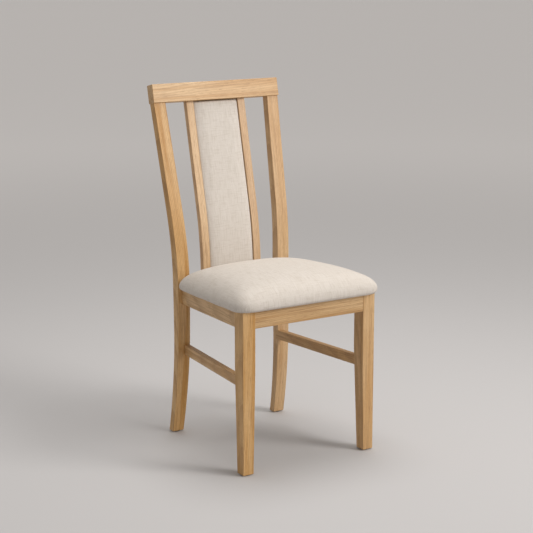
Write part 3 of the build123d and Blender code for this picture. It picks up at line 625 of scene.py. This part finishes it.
def buildCushion(material):
    c = cushion
    points, faces = cushionShape()
    piece = meshPiece("seatCushion", points, faces, material)
    remesh = piece.modifiers.new("Remesh", "REMESH")
    remesh.mode, remesh.voxel_size, remesh.use_smooth_shade = "VOXEL", c["voxel"], True
    smooth = piece.modifiers.new("Smooth", "SMOOTH")
    smooth.factor, smooth.iterations = 0.5, 6
    applied(piece)
    points = vertexArray(piece.data)
    height = points[:, 2] - seatHeight(points[:, 1])
    moved = puffed(piece, height < c["heldHeight"], c["pressure"], c["cap"], c["stiffness"])
    print("cushion moved at most and on average", moved)
    smooth = piece.modifiers.new("Smooth", "SMOOTH")
    smooth.factor, smooth.iterations = 0.5, 5
    finer = piece.modifiers.new("Subdivision", "SUBSURF")
    finer.levels = finer.render_levels = 1
    applied(piece)
    mesh = piece.data
    points, normals = vertexArray(mesh), vertexArray(mesh, "normal")
    height = points[:, 2] - seatHeight(points[:, 1])
    # small gathers where the cover is folded under at the corners: a sine of the angle round the corner, faded
    # by a bell curve about the corner's diagonal and by the height above the rails
    behind = points[:, 1] - legFront
    rearward = behind > c["halfway"]
    cornerY = np.where(rearward, c["rearY"] - c["gatherCorner"], c["frontY"] + c["gatherCorner"])
    cornerX = np.where(rearward, c["rearHalf"] - c["gatherCorner"], c["frontHalf"] - c["gatherCorner"])
    outY, outX = behind - cornerY, np.abs(points[:, 0]) - cornerX
    angle = np.arctan2(outY, outX)
    diagonal = np.where(rearward, math.radians(45), math.radians(-45))
    near = np.exp(-((angle - diagonal) / c["gatherWidth"]) ** 2)
    near *= np.clip((c["gatherTop"] - height) / c["gatherFade"], 0, 1)
    near *= np.hypot(outY, outX) > c["gatherHole"]
    points += normals * (c["gathers"] * near * np.sin(angle * c["gatherWaves"]))[:, None]
    # the underside lies flat on the rails
    height = points[:, 2] - seatHeight(points[:, 1])
    points[:, 2] -= np.where(height < c["flatHeight"], height, 0.0)
    mesh.vertices.foreach_set("co", points.astype(np.float32).ravel())
    mesh.update()
    # the cloth lies square on top and runs down the sides by the height it has dropped
    drop = np.maximum(c["sideDrop"] - height, 0)
    setClothMap(mesh, points[:, :2] + normals[:, :2] * drop[:, None])
    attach(piece, "root")
    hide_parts("seat_foam", "seat_cover")
    return piece


# upholstered back panel: everything follows the line of the posts' front face
backLine = {
    "depth": 0.384, "flatHeight": 0.440, "radius": 0.898, "lean": math.radians(12.87), "measuredAt": 0.0165,
}


def alongBack(x, along, setback):
    # straight up to flatHeight, round an arc whose centre is behind, then straight again at the lean;
    # along is measured on the arc that lies measuredAt behind the posts' front face
    b = backLine
    measured = b["radius"] - b["measuredAt"]
    turn = np.clip(along / measured, 0, b["lean"])
    beyond = np.maximum(along - b["lean"] * measured, 0)
    below = np.minimum(along, 0)
    reach = b["radius"] - setback
    y = legFront + b["depth"] + b["radius"] - reach * np.cos(turn) + beyond * np.sin(turn)
    z = b["flatHeight"] + reach * np.sin(turn) + beyond * np.cos(turn) + below
    return np.stack([x + 0 * y, y, z], -1)


panel = {
    "half": 0.0707, "low": -0.0098, "high": 0.4945, "boardFront": 0.0165, "boardBack": 0.0225,
    "depth": 0.0112, "sidePower": 4.5, "endPower": 60.0, "padGap": 0.0002, "fullness": 1.05,
    "heldFrom": 0.985, "pressure": 0.9, "cap": 0.0005, "stiffness": 20.0,
    "rearCloth": 0.0012, "rearFold": 0.0007, "rearGap": 0.0001, "rearSidePower": 60, "rearEndPower": 240,
    "foldSide": (0.86, 0.02), "foldEnd": (0.975, 0.004),
}


def panelPlace(u, v, setback):
    # u and v run from -1 to 1 over the panel's width and over its height
    middle, half = (panel["low"] + panel["high"]) / 2, (panel["high"] - panel["low"]) / 2
    return alongBack(u * panel["half"], middle + v * half, setback)


def edgeSpacing(count, ease):
    # positions from -1 to 1, closer together towards both ends: even steps blended with a sine by ease
    t = np.linspace(-1, 1, count)
    return (1 - ease) * t + ease * np.sin(t * math.pi / 2)


def buildBackPad(material):
    p = panel
    across, along = edgeSpacing(45, 0.93), edgeSpacing(151, 0.55)

    def front(u, v):
        # the pad's depth times the root of one less a power of u, times one less a power of v
        rounded = (1 - np.abs(u) ** p["sidePower"]) * (1 - np.abs(v) ** p["endPower"])
        return p["boardFront"] - p["depth"] * np.sqrt(np.clip(rounded, 0, 1))

    def back(u, v):
        return np.full(u.shape, p["boardFront"] - p["padGap"])

    piece, uv = lensShell("backPad", across, along, panelPlace, front, back, material)
    frontCount = across.size * along.size
    held = np.arange(len(piece.data.vertices)) >= frontCount
    held[:frontCount] = (np.abs(uv[:frontCount]) > p["heldFrom"]).any(1)
    moved = puffed(piece, held, p["pressure"], p["cap"], p["stiffness"])
    print("back pad moved at most and on average", moved)
    setClothMap(piece.data, uv * (p["half"] * p["fullness"], (p["high"] - p["low"]) / 2))
    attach(piece, "root")
    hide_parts("back_panel_foam", "back_panel_cover")


def buildRearCloth(material):
    p = panel
    across, along = edgeSpacing(33, 0.6), edgeSpacing(131, 0.3)

    def back(u, v):
        # a thin cloth drawn flat, its turned-in edge standing up as a low band, rounded off at the rim
        (sideStart, sideRamp), (endStart, endRamp) = p["foldSide"], p["foldEnd"]
        edge = np.maximum((np.abs(u) - sideStart) / sideRamp, (np.abs(v) - endStart) / endRamp)
        rounded = (1 - np.abs(u) ** p["rearSidePower"]) * (1 - np.abs(v) ** p["rearEndPower"])
        thick = p["rearCloth"] + p["rearFold"] * np.clip(edge, 0, 1)
        return p["boardBack"] + p["rearGap"] + thick * np.sqrt(np.clip(rounded, 0, 1))

    def front(u, v):
        return np.full(u.shape, p["boardBack"] + p["rearGap"])

    piece, uv = lensShell("backRearCloth", across, along, panelPlace, front, back, material)
    setClothMap(piece.data, uv * (p["half"], (p["high"] - p["low"]) / 2))
    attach(piece, "root")
    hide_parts("back_panel_rear_cover")


# dust cloth under the seat
dustCloth = {
    "inset": 0.064, "sideInset": 0.064 * 1.05, "gap": 0.0001, "thick": 0.0007, "sag": 0.0022,
    "fold": 0.0006, "foldSide": 0.93, "foldEnd": 0.91, "foldRamp": 0.01,
}


def buildDustCloth(material):
    d, c = dustCloth, cushion
    frontHalf, rearHalf = c["frontHalf"] - d["sideInset"], c["rearHalf"] - d["sideInset"]
    frontY, rearY = c["frontY"] + d["inset"], c["rearY"] - d["inset"]

    def place(u, v, height):
        # v runs from the front edge to the rear one, and the half width goes evenly from one to the other
        y = legFront + frontY + (v + 1) / 2 * (rearY - frontY)
        x = u * (frontHalf + (v + 1) / 2 * (rearHalf - frontHalf))
        return np.stack([x, y, seatHeight(y) + height], -1)

    def sag(u, v):
        # hangs a little in the middle: the sag times a half circle over the width and one over the length
        return d["sag"] * (1 - u ** 2) ** 0.5 * (1 - v ** 2) ** 0.5

    def top(u, v):
        return -d["gap"] - sag(u, v)

    def bottom(u, v):
        # the cloth's thickness below the top, and more where the turned-in edge is double
        edge = np.maximum(np.abs(u) - d["foldSide"], np.abs(v) - d["foldEnd"]) / d["foldRamp"]
        inside = (np.abs(u) < 1) & (np.abs(v) < 1)
        return -d["gap"] - sag(u, v) - (d["thick"] + d["fold"] * np.clip(edge, 0, 1)) * inside

    across, along = edgeSpacing(61, 0.35), edgeSpacing(51, 0.35)
    piece, uv = lensShell("dustCloth", across, along, place, top, bottom, material)
    setClothMap(piece.data, uv * ((frontHalf + rearHalf) / 2, (rearY - frontY) / 2))
    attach(piece, "root")
    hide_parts("seat_dust_cloth")


linenCloth = linenMaterial("oatmeal_linen")
cushionPiece = buildCushion(linenCloth)
print("seat cushion:", len(cushionPiece.data.vertices), "points")
buildBackPad(linenCloth)
buildRearCloth(linenCloth)
buildDustCloth(liningMaterial("black_lining"))
print("back panel and lining made")


# floor, light and camera; the floor's colour brightens with distance from the chair, painted light for the far
# floor
studio = {
    "floor": rgb(0.575, 0.566, 0.572), "floorFarPaintedLight": rgb(0.86, 0.846, 0.854), "paintedLightReach": (1.6, 6.5),
    "floorHalf": 60, "floorLines": 41, "floorRoughness": 0.8, "floorSpecular": 0.15,
    "world": rgb(1.0, 0.955, 0.900), "worldStrength": 0.41,
    "sun": dict(kind="SUN", place=(2.0, -3.0, 2.15), size=0.65, power=1.06, colour=(1.0, 0.972, 0.935)),
    "key": dict(kind="AREA", place=(1.5, -2.1, 2.3), size=1.0, power=29.0, colour=(1.0, 0.972, 0.935)),
    "top": dict(kind="AREA", place=(0.3, 0.2, 3.0), size=1.8, power=36.0, colour=(1.0, 0.985, 0.965)),
    "aim": (0.0, 0.0, 0.45),
}
view = {"aim": (-0.004, -0.036, 0.499), "distance": 4.05, "azimuth": -32.4, "height": 12.3, "lens": 100.7}


def floorMaterial():
    material, tree, shader = newMaterial("studio_floor")
    coords = addNode(tree, "ShaderNodeTexCoord").outputs["Object"]
    distance = addNode(tree, "ShaderNodeVectorMath", {0: coords}, operation="LENGTH").outputs[1]
    # painted light: the colour goes from the near floor colour to the far one between the two reach distances,
    # standing in for lamp light on the far floor
    paintedLightShare = between(tree, distance, *studio["paintedLightReach"])
    tree.links.new(blendColour(tree, paintedLightShare, studio["floor"], studio["floorFarPaintedLight"]), shader.inputs["Base Color"])
    shader.inputs["Roughness"].default_value = studio["floorRoughness"]
    shader.inputs["Specular IOR Level"].default_value = studio["floorSpecular"]
    return material


def buildFloor():
    steps = np.linspace(-studio["floorHalf"], studio["floorHalf"], studio["floorLines"])
    x, y = np.meshgrid(steps, steps, indexing="ij")
    number = np.arange(x.size).reshape(x.shape)
    corners = [number[:-1, :-1], number[1:, :-1], number[1:, 1:], number[:-1, 1:]]
    faces = np.stack(corners, -1).reshape(-1, 4)
    points = np.stack([x.ravel(), y.ravel(), np.zeros(x.size)], 1)
    floor = meshPiece("studioFloor", points, faces.tolist(), floorMaterial())


def softLight(name, kind, place, size, power, colour):
    light = bpy.data.lights.new(name, kind)
    light.energy, light.color = power, colour
    if kind == "SUN":
        light.angle = size
    else:
        light.shape, light.size = "DISK", size
    lamp = bpy.data.objects.new(name, light)
    bpy.context.scene.collection.objects.link(lamp)
    lamp.location = place
    lamp.rotation_euler = (Vector(studio["aim"]) - Vector(place)).to_track_quat("-Z", "Y").to_euler()


buildFloor()
for name in ("sun", "key", "top"):
    softLight(name + "Light", **studio[name])
world = bpy.context.scene.world or bpy.data.worlds.new("studio")
bpy.context.scene.world = world
world.use_nodes = True
background = world.node_tree.nodes["Background"]
background.inputs[0].default_value = studio["world"]
background.inputs[1].default_value = studio["worldStrength"]
bpy.context.scene.view_settings.view_transform = "Standard"

camera = bpy.data.objects.new("camera", bpy.data.cameras.new("camera"))
bpy.context.scene.collection.objects.link(camera)
turn, rise = math.radians(view["azimuth"]), math.radians(view["height"])
away = Vector((math.sin(turn) * math.cos(rise), -math.cos(turn) * math.cos(rise), math.sin(rise)))
camera.location = Vector(view["aim"]) + away * view["distance"]
camera.rotation_euler = (-away).to_track_quat("-Z", "Y").to_euler()
camera.data.sensor_width, camera.data.lens = 36.0, view["lens"]
camera.data.clip_end = 300.0
bpy.context.scene.camera = camera
print("studio ready")
